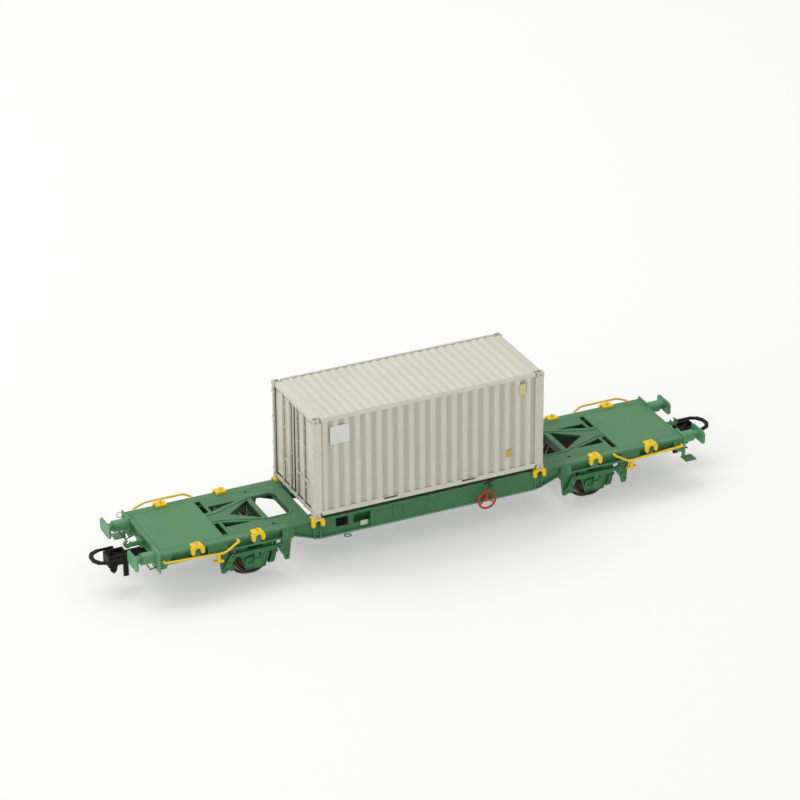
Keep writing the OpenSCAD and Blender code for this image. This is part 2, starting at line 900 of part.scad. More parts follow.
// Section of a corrugated sheet: n ribs over a length, outer faces at 0, inner face at -t
module corrugated(length, n, t, d) {
    p = length / n;
    ribs = [for (i = [0 : n - 1])
        each [[i * p, -d], [(i + 0.25) * p, 0], [(i + 0.5) * p, 0], [(i + 0.75) * p, -d]]];
    polygon(concat(ribs, [[length, -d], [length, -t], [0, -t]]));
}

module container_side() {
    panel_x = box_half - post_w;
    low = load_z + rail_bottom_h;
    high = roof_z - rail_top_h;
    translate([-panel_x, skin_y - 0.06, low - eps])
        linear_extrude(height = high - low + 2 * eps)
            corrugated(2 * panel_x, side_ribs, wall_t - 0.06, rib_depth);
    // bottom rail with its fork pockets, and top rail
    difference() {
        block([-panel_x, skin_y - wall_t, load_z + rail_gap], [panel_x, skin_y, low]);
        for (x = [-1, 1] * pocket_x)
            block([x - pocket_w / 2, skin_y - 2, low - 0.65], [x + pocket_w / 2, box_w, low - 0.15]);
    }
    block([-panel_x, skin_y - wall_t, high], [panel_x, skin_y, roof_z]);
}

module container_side_near() {
    color(box_grey)
        mirror([0, 1, 0])
            container_side();
}

module container_side_far() {
    color(box_grey)
        container_side();
}

// Ribbed plate between the top rails, flat at both ends
module container_roof() {
    flat = 4.4;
    inner_y = skin_y - wall_t;
    end_x = box_half - post_w;
    color(box_grey) {
        translate([-box_half + flat, inner_y, roof_z - 0.05])
            rotate([90, 0, 0])
                linear_extrude(height = 2 * inner_y)
                    corrugated(box_l - 2 * flat, roof_ribs, wall_t, 0.23);
        both_ends()
            block([box_half - flat - eps, -inner_y, roof_z - 0.05 - wall_t], [end_x, inner_y, roof_z - 0.12]);
    }
}

// Floor with the cross bearers below it, and free ways for the fork pockets
module container_floor() {
    inner_y = skin_y - wall_t;
    end_x = box_half - post_w;
    color(box_grey) {
        block([-end_x, -inner_y, load_z + rail_bottom_h - 0.1], [end_x, inner_y, load_z + rail_bottom_h + 0.4]);
        for (x = [-27.6 : 4.6 : 27.6])
            if (abs(abs(x) - pocket_x) > pocket_w / 2 + 0.4)
                block([x - 0.25, -inner_y, load_z + rail_gap], [x + 0.25, inner_y, load_z + rail_bottom_h]);
    }
}

// Upright between two castings, its side face post_w wide
module corner_post(face_w) {
    block([box_half - post_w, skin_y - wall_t, load_z + casting[2]],
        [box_half - 0.1, skin_y, box_top - casting[2]]);
    block([box_half - 1.1, skin_y - face_w, load_z + casting[2]],
        [box_half - 0.1, skin_y, box_top - casting[2]]);
}

// Sill below and header above an end wall
end_inset = 0.4;
module end_rails(y) {
    out = box_half - end_inset;
    block([out - 1, -y, load_z + rail_gap - 0.1], [out, y, load_z + 1.6]);
    block([box_half - post_w, -y, load_z + 0.9], [out - 0.9, y, load_z + 1.6]);
    block([box_half - post_w, -y, roof_z - 1.1], [out, y, roof_z]);
    block([out - 1, -y, roof_z - 1.3], [out, y, roof_z - 1]);
}

module front_posts() {
    color(box_grey) {
        both_sides()
            corner_post(1.5);
        end_rails(box_y - casting[1]);
    }
}

module container_front() {
    y = skin_y - 1.55;
    color(box_grey)
        translate([box_half - 0.3, y, load_z + 1.62])
            rotate([0, 0, -90])
                linear_extrude(height = box_h - 0.1 - 1.62 - 1.32)
                    corrugated(2 * y, 9, 0.75, 0.4);
}

module door_frame() {
    color(door_grey)
        mirror([1, 0, 0]) {
            both_sides()
                corner_post(0.9);
            end_rails(box_y - casting[1]);
        }
}

// Leaf with two sunk panels
leaf_x = box_half - end_inset - 0.35;
module door_leaf() {
    y = [door_gap / 2, skin_y - 0.9 - door_gap];
    z = [load_z + 1.6 + door_gap, roof_z - 1.3 - door_gap];
    mid = (y[0] + y[1]) / 2;
    difference() {
        block([-leaf_x, y[0], z[0]], [-leaf_x + 0.8, y[1], z[1]]);
        for (p = [[y[0] + 0.8, mid - 0.5], [mid + 0.5, y[1] - 0.8]])
            block([-leaf_x - 1, p[0], z[0] + 1], [-leaf_x + 0.12, p[1], z[1] - 1]);
    }
}

module door_near() {
    color(door_grey)
        mirror([0, 1, 0])
            door_leaf();
}

module door_far() {
    color(door_grey)
        door_leaf();
}

hinge_heights = [0.1, 0.365, 0.635, 0.9];

module door_hinges() {
    color(door_grey)
        both_sides()
            for (h = hinge_heights)
                translate([-box_half + 0.25, skin_y - 0.3, load_z + h * box_h])
                    difference() {
                        union() {
                            translate([0, 0, -0.45])
                                cylinder(r = 0.4, h = 0.9);
                            block([-0.3, -1.5, -0.3], [-0.1, 0, 0.3]);
                        }
                        block([-0.15, -2, -1], [1, 0.3, 1]);
                    }
}

// Upright bars with guides, keepers and handles
module locking_bars() {
    bar_d = 0.42;
    x = -box_half + end_inset - bar_d / 2;
    color(door_grey)
        both_sides()
            for (y = [2.3, 7.0]) {
                translate([x, y, load_z + 0.7])
                    cylinder(d = bar_d, h = box_h - 1.2);
                // guides on the leaf, keepers on the sill and the header
                for (z = [6.5, 12.5, 18.5, 24.5])
                    block([x - 0.1, y - 0.4, load_z + z], [-leaf_x, y + 0.4, load_z + z + 0.5]);
                for (z = [0.7, box_h - 1.2])
                    block([x - 0.1, y - 0.5, load_z + z], [x + bar_d / 2, y + 0.5, load_z + z + 0.7]);
                block([x - 0.2, y, load_z + 9.4], [x + 0.1, y + 2.9, load_z + 9.8]);
            }
}

// Corner casting with an oval hole in each outer face
module corner_casting() {
    difference() {
        cube(casting);
        translate([casting[0] / 2 + 0.13, casting[1] / 2 + 0.08, -0.1])
            linear_extrude(height = 1.3)
                rounded_rect(1.43, 1.2, 0.5);
        translate([casting[0] / 2, -0.1, casting[2] / 2])
            rotate([-90, 0, 0])
                linear_extrude(height = 0.4)
                    rounded_rect(0.6, 0.8, 0.28);
        translate([-0.1, casting[1] / 2, casting[2] / 2])
            rotate([0, 90, 0])
                linear_extrude(height = 0.4)
                    rounded_rect(0.6, 0.9, 0.28);
    }
}

module corner_castings() {
    color(box_grey)
        four_corners() {
            translate([box_half, box_y, load_z])
                mirror([1, 0, 0])
                    mirror([0, 1, 0])
                        corner_casting();
            translate([box_half, box_y, box_top])
                mirror([1, 0, 0])
                    mirror([0, 1, 0])
                        mirror([0, 0, 1])
                            corner_casting();
        }
}

// Blank marking panel, vent cover and small blank plate on each side wall
module side_plates() {
    y = skin_y - 0.06;
    color(label_yellow)
        for (a = [0, 180])
            rotate([0, 0, a]) {
                block([-box_half + post_w + 2.6, -y - 0.05, box_top - 8.2],
                    [-box_half + post_w + 8.3, -y, box_top - 2.8]);
                translate([box_half - 6.6, 0, box_top - 3.9])
                    mirror([0, 1, 0])
                        side_plate(y + 0.3, 0.3)
                            rounded_rect(2.0, 3.5, 0.9);
                block([box_half - 11.6, -y - 0.08, load_z + 5.8], [box_half - 10.0, -y, load_z + 8.2]);
            }
}

side_beams();
cross_members();
open_frame_left();
open_frame_right();
deck_plate_left();
deck_plate_right();
side_sills_left();
side_sills_right();
headstocks();
buffers();
draw_hooks();
axle_guards();
leaf_springs();
axle_boxes();
brake_gear();
brake_cylinder();
wheelset_left();
wheelset_right();
coupler_left();
coupler_right();
coupler_loop_left();
coupler_loop_right();
twist_locks_20ft();
twist_locks_30ft();
twist_locks_40ft();
handrails_near();
handrails_far();
change_over_handles();
brake_wheels();
corner_steps();
shunter_handles();
container_floor();
container_side_near();
container_side_far();
container_roof();
container_front();
front_posts();
door_frame();
door_near();
door_far();
door_hinges();
locking_bars();
corner_castings();
side_plates();
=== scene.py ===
# %% [markdown]
# # A model flatcar with its container
# This lesson dresses a finished H0 scale model wagon: a green two-axle flatcar that
# carries one grey box container. The hard shapes already exist as exact CAD parts, so
# the work here is light, camera, finishes, and the small fittings that give a model life.
# We begin by loading those parts and by noting the size of the whole.

# %% Load the wagon
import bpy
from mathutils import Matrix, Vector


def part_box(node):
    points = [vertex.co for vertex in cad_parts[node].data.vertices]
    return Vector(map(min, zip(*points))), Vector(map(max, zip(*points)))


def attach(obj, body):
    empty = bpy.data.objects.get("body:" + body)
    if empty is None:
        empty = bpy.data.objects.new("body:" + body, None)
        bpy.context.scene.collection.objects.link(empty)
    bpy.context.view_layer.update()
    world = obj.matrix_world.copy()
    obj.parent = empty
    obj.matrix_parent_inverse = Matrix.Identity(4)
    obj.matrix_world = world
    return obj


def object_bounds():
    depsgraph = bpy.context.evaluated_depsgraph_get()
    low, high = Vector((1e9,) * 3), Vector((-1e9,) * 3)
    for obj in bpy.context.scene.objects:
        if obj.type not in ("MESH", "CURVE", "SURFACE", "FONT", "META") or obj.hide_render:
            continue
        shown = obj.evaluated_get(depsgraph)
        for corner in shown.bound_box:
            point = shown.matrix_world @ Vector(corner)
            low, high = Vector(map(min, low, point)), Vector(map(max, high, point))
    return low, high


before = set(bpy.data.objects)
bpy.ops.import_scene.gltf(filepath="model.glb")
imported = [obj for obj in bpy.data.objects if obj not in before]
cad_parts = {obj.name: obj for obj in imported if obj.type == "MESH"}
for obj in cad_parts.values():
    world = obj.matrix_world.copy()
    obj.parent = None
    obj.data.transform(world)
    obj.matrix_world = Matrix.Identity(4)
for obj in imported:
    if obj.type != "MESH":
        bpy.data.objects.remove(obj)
cad_low, cad_high = [list(c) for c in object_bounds()]

import math
import bpy
from mathutils import Matrix, Vector

MM = 0.001

# %% [markdown]
# ## Camera
# A long lens keeps the wagon's long sides almost parallel, which suits a small model.
# Placing the camera by two angles, a distance and a small sideways
# shift is easier to reason about than raw numbers, so we build its matrix from them.

# %% Camera
AZIMUTH, ELEVATION, ROLL = map(math.radians, (-24.80, 26.67, -0.42))
DISTANCE = 1054.8 * MM
LENS = 171.06
LOOK_AT = Vector((0.1, 0, 15.6)) * MM
SIDE_SHIFT, UP_SHIFT = -2.455 * MM, 20.006 * MM

back = Vector((math.sin(AZIMUTH) * math.cos(ELEVATION),
               -math.cos(AZIMUTH) * math.cos(ELEVATION),
               math.sin(ELEVATION)))
level = Vector((math.cos(AZIMUTH), math.sin(AZIMUTH), 0))
upward = back.cross(level)
right = level * math.cos(ROLL) + upward * math.sin(ROLL)
up = upward * math.cos(ROLL) - level * math.sin(ROLL)
eye = LOOK_AT + back * DISTANCE + right * SIDE_SHIFT + up * UP_SHIFT

bpy.ops.object.camera_add()
camera = bpy.context.object
camera.name = "studio_camera"
camera.data.lens = LENS
camera.data.clip_start, camera.data.clip_end = 0.05, 20
camera.matrix_world = Matrix((
    (right.x, up.x, back.x, eye.x),
    (right.y, up.y, back.y, eye.y),
    (right.z, up.z, back.z, eye.z),
    (0, 0, 0, 1)))
bpy.context.scene.camera = camera
print("camera stands", round(eye.length, 3), "m from the wagon's middle")

# %% [markdown]
# ## Studio
# Plain soft light shows a satin model best: an even white world does most of the work,
# a broad lamp overhead makes the tops a little brighter than the sides, and a weak one
# from the left picks out the container's door end. The floor is a large pale sheet.

# %% Studio floor and light
scene = bpy.context.scene
scene.view_settings.view_transform = "Standard"


def quiet():
    """Leave nothing selected, so that the next operator acts on its own piece only."""
    if bpy.context.object and bpy.context.object.mode != "OBJECT":
        bpy.ops.object.mode_set(mode="OBJECT")
    bpy.ops.object.select_all(action="DESELECT")


quiet()
FLOOR_SIZE = 9
GLOW_SHARE = 0.38
WORLD_STRENGTH = 0.62
bpy.ops.mesh.primitive_plane_add(size=FLOOR_SIZE, location=(0, 0, cad_low[2]))
floor = bpy.context.object
floor.name = "studio_floor"
floor_paper = bpy.data.materials.new("floor_paper")
floor_paper.use_nodes = True
paper = floor_paper.node_tree.nodes["Principled BSDF"]
paper.inputs["Base Color"].default_value = (0.98, 0.975, 0.965, 1)
paper.inputs["Roughness"].default_value = 0.9
paper.inputs["Specular IOR Level"].default_value = 0.1
tree = floor_paper.node_tree
paths = tree.nodes.new("ShaderNodeLightPath")
seen = paths.outputs["Is Camera Ray"]
for kind in ("Is Glossy Ray", "Is Transmission Ray"):
    either = tree.nodes.new("ShaderNodeMath")
    either.operation = "MAXIMUM"
    tree.links.new(seen, either.inputs[0])
    tree.links.new(paths.outputs[kind], either.inputs[1])
    seen = either.outputs["Value"]
glow = tree.nodes.new("ShaderNodeEmission")
share = tree.nodes.new("ShaderNodeMath")
share.operation = "MULTIPLY"
share.inputs[1].default_value = GLOW_SHARE
tree.links.new(seen, share.inputs[0])
mixed = tree.nodes.new("ShaderNodeMixShader")
tree.links.new(share.outputs["Value"], mixed.inputs["Fac"])
tree.links.new(paper.outputs["BSDF"], mixed.inputs[1])
tree.links.new(glow.outputs["Emission"], mixed.inputs[2])
tree.links.new(mixed.outputs["Shader"], tree.nodes["Material Output"].inputs["Surface"])
floor.data.materials.append(floor_paper)

world = bpy.data.worlds.new("even_white")
scene.world = world
world.use_nodes = True
sky = world.node_tree.nodes["Background"]
sky.inputs["Color"].default_value = (1, 1, 1, 1)
sky.inputs["Strength"].default_value = WORLD_STRENGTH


def soft_lamp(name, place, size, watts):
    """An area lamp that faces the wagon's middle."""
    bpy.ops.object.light_add(type="AREA", location=place)
    lamp = bpy.context.object
    lamp.name = name
    lamp.data.energy = watts
    lamp.data.size = size
    lamp.rotation_mode = "QUATERNION"
    lamp.rotation_quaternion = Vector(place).to_track_quat("Z", "Y")
    return lamp


soft_lamp("overhead_softbox", (-0.25, 0.45, 1.2), 0.9, 7.0)
soft_lamp("left_softbox", (-1.3, -0.35, 0.5), 0.7, 3.0)
print("studio ready")

# %% [markdown]
# ## Shared effects
# Paint and moulded plastic need the same few effects: slight colour drift, a soft
# highlight where an edge catches the light, dust on what faces up, and a fine moulded
# grain. Each is a shader node group with named inputs, built once and placed in every
# material with that material's own values.

# %% Helpers for node groups
def new_group(name, inputs, outputs):
    """A shader group with sockets given as (name, kind, default)."""
    tree = bpy.data.node_groups.new(name, "ShaderNodeTree")
    for label, kind, value in inputs:
        socket = tree.interface.new_socket(
            label, in_out="INPUT", socket_type="NodeSocket" + kind)
        if value is not None:
            socket.default_value = value
    for label, kind in outputs:
        tree.interface.new_socket(label, in_out="OUTPUT", socket_type="NodeSocket" + kind)
    start = tree.nodes.new("NodeGroupInput")
    end = tree.nodes.new("NodeGroupOutput")
    return tree, start, end


def add(tree, kind, **settings):
    """A node with its settings."""
    node = tree.nodes.new("ShaderNode" + kind)
    for key, value in settings.items():
        setattr(node, key, value)
    return node


def noise(tree, place, scale, detail=3.0, roughness=0.55):
    """Noise over Object coordinates, scale given per metre."""
    node = add(tree, "TexNoise")
    node.inputs["Detail"].default_value = detail
    node.inputs["Roughness"].default_value = roughness
    tree.links.new(place, node.inputs["Vector"])
    if isinstance(scale, (int, float)):
        node.inputs["Scale"].default_value = scale
    else:
        tree.links.new(scale, node.inputs["Scale"])
    return node.outputs["Fac"]


def remap(tree, value, low, high, to_low=0.0, to_high=1.0):
    """A value stretched from one range to another."""
    node = add(tree, "MapRange")
    tree.links.new(value, node.inputs["Value"])
    for label, number in (("From Min", low), ("From Max", high),
                          ("To Min", to_low), ("To Max", to_high)):
        node.inputs[label].default_value = number
    return node.outputs["Result"]


def product(tree, a, b):
    """Two values multiplied."""
    node = add(tree, "Math", operation="MULTIPLY")
    tree.links.new(a, node.inputs[0])
    if isinstance(b, (int, float)):
        node.inputs[1].default_value = b
    else:
        tree.links.new(b, node.inputs[1])
    return node.outputs["Value"]


# a Mix node has sockets for values, vectors and colours; these are the colour ones
COLOUR_A, COLOUR_B, COLOUR_OUT = 6, 7, 2


def blend_colours(tree, share, a, b):
    """Colour a turning to colour b by share."""
    node = add(tree, "Mix", data_type="RGBA")
    tree.links.new(share, node.inputs["Factor"])
    for socket, value in ((node.inputs[COLOUR_A], a), (node.inputs[COLOUR_B], b)):
        if hasattr(value, "links"):
            tree.links.new(value, socket)
        else:
            socket.default_value = value
    return node.outputs[COLOUR_OUT]


# %% Paint drift, dust, lit edges and grain
# how fine each kind of noise is, per metre
FINE_NOISE, DUST_NOISE, WEAR_AND_HIGHLIGHT_NOISE, GLOSS_NOISE = 2600.0, 160.0, 420.0, 230.0


def make_paint_drift():
    """Slow and fine unevenness of a sprayed colour."""
    tree, start, end = new_group(
        "paint_drift",
        [("Color", "Color", (0.5, 0.5, 0.5, 1)), ("Amount", "Float", 0.1),
         ("Scale", "Float", 90.0)],
        [("Color", "Color")])
    place = add(tree, "TexCoord").outputs["Object"]
    slow = noise(tree, place, start.outputs["Scale"], 2.0)
    fine = noise(tree, place, FINE_NOISE, 2.0)
    both = product(tree, slow, remap(tree, fine, 0.3, 0.7, 0.8, 1.2))
    level = remap(tree, both, 0.3, 0.7, -0.5, 0.5)
    gain = add(tree, "Math", operation="MULTIPLY_ADD")
    tree.links.new(level, gain.inputs[0])
    tree.links.new(start.outputs["Amount"], gain.inputs[1])
    gain.inputs[2].default_value = 1.0
    hsv = add(tree, "HueSaturation")
    tree.links.new(start.outputs["Color"], hsv.inputs["Color"])
    tree.links.new(gain.outputs["Value"], hsv.inputs["Value"])
    tree.links.new(hsv.outputs["Color"], end.inputs["Color"])
    return tree


def make_settled_dust():
    """A thin pale film on whatever faces up."""
    tree, start, end = new_group(
        "settled_dust",
        [("Color", "Color", (0.5, 0.5, 0.5, 1)), ("Dust", "Color", (0.62, 0.62, 0.57, 1)),
         ("Amount", "Float", 0.1)],
        [("Color", "Color"), ("Mask", "Float")])
    place = add(tree, "TexCoord").outputs["Object"]
    facing = add(tree, "SeparateXYZ")
    tree.links.new(add(tree, "NewGeometry").outputs["Normal"], facing.inputs["Vector"])
    tops = remap(tree, facing.outputs["Z"], 0.5, 1.0)
    patches = remap(tree, noise(tree, place, DUST_NOISE, 4.0), 0.35, 0.7, 0.35, 1.0)
    mask = product(tree, product(tree, tops, patches), start.outputs["Amount"])
    tree.links.new(blend_colours(tree, mask, start.outputs["Color"], start.outputs["Dust"]),
                   end.inputs["Color"])
    tree.links.new(mask, end.inputs["Mask"])
    return tree


def make_lit_edges():
    """Normals softened at sharp edges, a mask of those edges, and a paler colour there: painted
    highlight and wear.
    """
    tree, start, end = new_group(
        "lit_edges",
        [("Radius", "Float", 0.0001), ("Color", "Color", (0.5, 0.5, 0.5, 1)),
         ("Worn", "Color", (0.8, 0.8, 0.8, 1)), ("Amount", "Float", 0.2)],
        [("Color", "Color"), ("Mask", "Float"), ("Normal", "Vector")])
    soft = add(tree, "Bevel", samples=6)
    tree.links.new(start.outputs["Radius"], soft.inputs["Radius"])
    flat = add(tree, "NewGeometry")
    agree = add(tree, "VectorMath", operation="DOT_PRODUCT")
    tree.links.new(soft.outputs["Normal"], agree.inputs[0])
    tree.links.new(flat.outputs["Normal"], agree.inputs[1])
    edge = remap(tree, agree.outputs["Value"], 0.998, 0.9)
    place = add(tree, "TexCoord").outputs["Object"]
    broken = remap(tree, noise(tree, place, WEAR_AND_HIGHLIGHT_NOISE, 4.0), 0.4, 0.62, 0.25, 1.0)
    mask = product(tree, product(tree, edge, broken), start.outputs["Amount"])
    tree.links.new(blend_colours(tree, mask, start.outputs["Color"], start.outputs["Worn"]),
                   end.inputs["Color"])
    tree.links.new(mask, end.inputs["Mask"])
    tree.links.new(soft.outputs["Normal"], end.inputs["Normal"])
    return tree


def make_moulded_grain():
    """Height of the fine tooth of painted plastic."""
    tree, start, end = new_group(
        "moulded_grain", [("Scale", "Float", 5200.0)], [("Height", "Float"), ("Gloss", "Float")])
    place = add(tree, "TexCoord").outputs["Object"]
    tree.links.new(noise(tree, place, start.outputs["Scale"], 3.0), end.inputs["Height"])
    tree.links.new(remap(tree, noise(tree, place, GLOSS_NOISE, 3.0), 0.3, 0.7), end.inputs["Gloss"])
    return tree


paint_drift = make_paint_drift()
settled_dust = make_settled_dust()
lit_edges = make_lit_edges()
moulded_grain = make_moulded_grain()
print("effects:", [g.name for g in bpy.data.node_groups])

# %% [markdown]
# ## Finishes
# Nearly all of the model is satin paint on moulded plastic, so one recipe with a
# different colour, gloss and amount of wear and painted edge highlight serves for all of it.
# Only the numbers differ: a fresh container, a slightly dusty deck, dark running gear, and so on.

# %% Satin paint recipe
def tone(r, g, b):
    """A colour mixed on a screen, turned into the linear values that light needs."""
    def channel(v):
        v /= 255
        return v / 12.92 if v <= 0.04045 else ((v + 0.055) / 1.055) ** 2.4
    return (channel(r), channel(g), channel(b), 1)


def use(tree, group, **values):
    """Place a shared effect in a material with that material's own values."""
    node = tree.nodes.new("ShaderNodeGroup")
    node.node_tree = group
    for label, value in values.items():
        node.inputs[label].default_value = value
    return node


GRAIN_HEIGHT = 0.02 * MM


def satin_paint(name, colour, gloss=(0.38, 0.5), drift=0.10, dust=0.06, wear_and_highlight_colour=None, wear_and_highlight=0.25,
                edge=0.00012, grain=0.18, metallic=0.0, coat=0.0, specular=0.5):
    """Paint or moulded plastic with drift, dust, lit edges and a fine grain."""
    material = bpy.data.materials.new(name)
    material.use_nodes = True
    tree = material.node_tree
    shader = tree.nodes["Principled BSDF"]
    shader.inputs["Metallic"].default_value = metallic
    shader.inputs["Coat Weight"].default_value = coat
    base = use(tree, paint_drift, Color=colour, Amount=drift)
    film = use(tree, settled_dust, Amount=dust)
    # sharp edges turn to a paler colour: painted highlight, and wear
    rims = use(tree, lit_edges, Radius=edge, Amount=wear_and_highlight,
               Worn=wear_and_highlight_colour or tuple(min(1, c * 1.5 + 0.05) for c in colour[:3]) + (1,))
    tooth = use(tree, moulded_grain)
    tree.links.new(base.outputs["Color"], film.inputs["Color"])
    tree.links.new(film.outputs["Color"], rims.inputs["Color"])
    tree.links.new(rims.outputs["Color"], shader.inputs["Base Color"])
    tree.links.new(remap(tree, tooth.outputs["Gloss"], 0, 1, *gloss), shader.inputs["Roughness"])
    bump = add(tree, "Bump")
    bump.inputs["Strength"].default_value = grain
    bump.inputs["Distance"].default_value = GRAIN_HEIGHT
    tree.links.new(tooth.outputs["Height"], bump.inputs["Height"])
    tree.links.new(rims.outputs["Normal"], bump.inputs["Normal"])
    tree.links.new(bump.outputs["Normal"], shader.inputs["Normal"])
    shader.inputs["Specular IOR Level"].default_value = specular
    return material


# %% The wagon's paints
# a pale green for the edges of frames and beams: painted highlight where they catch the light
EDGE_HIGHLIGHT_GREEN = tone(150, 196, 152)
WIDE_EDGE = 0.18 * MM
green_frame = satin_paint("green_frame_paint", tone(62, 126, 76), dust=0.08, wear_and_highlight=0.6,
                          wear_and_highlight_colour=EDGE_HIGHLIGHT_GREEN, edge=WIDE_EDGE)
# the open frames' green is darker than the frame's: painted shade from the container above
green_arm = satin_paint("green_arm_paint", tone(62, 118, 72), dust=0.06, gloss=(0.42, 0.56))
tray_green = satin_paint("slot_tray_green", tone(36, 72, 44), dust=0.04, gloss=(0.55, 0.7))
green_deck = satin_paint("green_deck_paint", tone(76, 134, 86), dust=0.03, drift=0.03,
                         gloss=(0.42, 0.56))
green_running = satin_paint("green_running_paint", tone(50, 116, 64), dust=0.05, wear_and_highlight=0.5,
                            gloss=(0.34, 0.46))
green_buffer = satin_paint("green_buffer_paint", tone(88, 152, 102), dust=0.05)
yellow_fitting = satin_paint("yellow_fitting_paint", tone(247, 205, 18), dust=0.03,
                             wear_and_highlight_colour=tone(250, 226, 120), gloss=(0.3, 0.42))
red_wheel = satin_paint("red_wheel_paint", tone(190, 36, 26), dust=0.02, gloss=(0.28, 0.4))
coupler_black = satin_paint("coupler_black_plastic", tone(22, 20, 20), dust=0.0, drift=0.2,
                            wear_and_highlight_colour=tone(54, 52, 50), wear_and_highlight=0.15, gloss=(0.5, 0.65), specular=0.2)
wire_black = satin_paint("blackened_wire", tone(48, 50, 46), dust=0.02, metallic=0.5,
                         gloss=(0.3, 0.45))
print("wagon paints mixed, the last is", wire_black.name)

# %% The container's paints
box_side = satin_paint("box_side_paint", tone(206, 205, 189), dust=0.05, drift=0.05,
                       wear_and_highlight_colour=tone(232, 230, 216), gloss=(0.42, 0.55))
box_roof = satin_paint("box_roof_paint", tone(212, 210, 195), dust=0.08, drift=0.05,
                       wear_and_highlight_colour=tone(236, 234, 222), gloss=(0.45, 0.58))
box_door = satin_paint("box_door_paint", tone(217, 214, 198), dust=0.04, drift=0.05,
                       wear_and_highlight_colour=tone(236, 233, 220), gloss=(0.4, 0.52))
plate_grey = satin_paint("blank_plate_grey", tone(196, 197, 188), dust=0.02,
                         gloss=(0.3, 0.4))
print("container paints mixed, the last is", plate_grey.name)

# %% [markdown]
# ## Colour that changes with place
# On the wagon a beam's lip catches the light, the openings of the frames lie in shade,
# and a container's wall is lit on its ridges and shaded in the valleys of its corrugation.
# That light and shade is painted into the colour here: a painted highlight on the lip,
# painted shade in the openings, and painted light and shade on the walls. Painting each
# patch by hand would need an image; a mask worked out from the position on the object
# needs none, and it follows the part exactly.

# %% Helpers for masks by place
def under_colour(material):
    """The colour that reaches a material's shader so far."""
    return material.node_tree.nodes["Principled BSDF"].inputs["Base Color"].links[0].from_socket


def repaint(material, share, colour):
    """Turn a material's colour to another one where share is high."""
    tree = material.node_tree
    tree.links.new(blend_colours(tree, share, under_colour(material), colour),
                   tree.nodes["Principled BSDF"].inputs["Base Color"])


def object_place(tree):
    """Sockets with the object position's X, Y and Z."""
    split = add(tree, "SeparateXYZ")
    tree.links.new(add(tree, "TexCoord").outputs["Object"], split.inputs["Vector"])
    return split.outputs


def of_value(tree, value, operation):
    """One value through a Math node, such as its size or its sign."""
    node = add(tree, "Math", operation=operation)
    tree.links.new(value, node.inputs[0])
    return node.outputs["Value"]


# %% Beams, openings, walls and plates
# painted highlight: the beams' lower flange is painted paler along its lip, where it catches the
# light, in a band low down and far out
LIP_TOP, LIP_FULL = 9.4 * MM, 9.3 * MM
LIP_INNER, LIP_OUTER = 12.9 * MM, 13.2 * MM
green_beam = satin_paint("green_beam_paint", tone(54, 116, 66), dust=0.06, wear_and_highlight=0.6,
                         wear_and_highlight_colour=EDGE_HIGHLIGHT_GREEN, edge=WIDE_EDGE)
tree = green_beam.node_tree
place = object_place(tree)
lip = product(tree, remap(tree, place["Z"], LIP_TOP, LIP_FULL),
              remap(tree, of_value(tree, place["Y"], "ABSOLUTE"), LIP_INNER, LIP_OUTER))
repaint(green_beam, lip, tone(112, 160, 120))

# painted shade: the openings of the open frames are darker than their top
OPENING_TOP, OPENING_FULL = 14.95 * MM, 14.6 * MM
tree = green_arm.node_tree
depth = remap(tree, object_place(tree)["Z"], OPENING_TOP, OPENING_FULL)
repaint(green_arm, depth, tone(40, 84, 50))

# painted light and shade: the container's walls are lighter on the ridges and darker in the valleys
# of their corrugation
RIDGE_Y, VALLEY_Y = 13.84 * MM, 13.45 * MM
box_wall = satin_paint("box_wall_paint", tone(214, 213, 198), dust=0.05, drift=0.05,
                       wear_and_highlight_colour=tone(240, 238, 226), gloss=(0.42, 0.55))
tree = box_wall.node_tree
across = of_value(tree, object_place(tree)["Y"], "ABSOLUTE")
repaint(box_wall, remap(tree, across, RIDGE_Y, VALLEY_Y), tone(190, 189, 173))

# Three kinds of plate on each wall, told apart by how far along they stand: first a
# bare panel, then a small ochre plate, then a pale vent cover.
OCHRE_FROM, VENT_FROM, PLATE_STEP = 19.0, 25.4, 0.2
box_plates = satin_paint("box_plates_paint", tone(226, 226, 220), dust=0.03, drift=0.05,
                         gloss=(0.4, 0.5))
tree = box_plates.node_tree
place = object_place(tree)
facing = of_value(tree, place["Y"], "SIGN")
along = product(tree, product(tree, place["X"], facing), -1.0)
for begin, colour in ((OCHRE_FROM, tone(204, 168, 72)), (VENT_FROM, tone(206, 202, 146))):
    repaint(box_plates, remap(tree, along, begin * MM, (begin + PLATE_STEP) * MM), colour)
print("materials in the file so far:", len(bpy.data.materials))

# %% [markdown]
# ## Wheels
# A model wheel is blackened metal whose tread has been rubbed bright by the rail. The
# tread is a band at a known distance from the axle, so a mask made from that distance
# paints it, and it stays in place however the wheelset turns.

# %% Blackened wheel with bright treads
AXLE_X, AXLE_Z = 51.7 * MM, 6.5 * MM
TREAD_INNER, TREAD_OUTER = (5.12 * MM, 5.18 * MM), (5.6 * MM, 5.5 * MM)


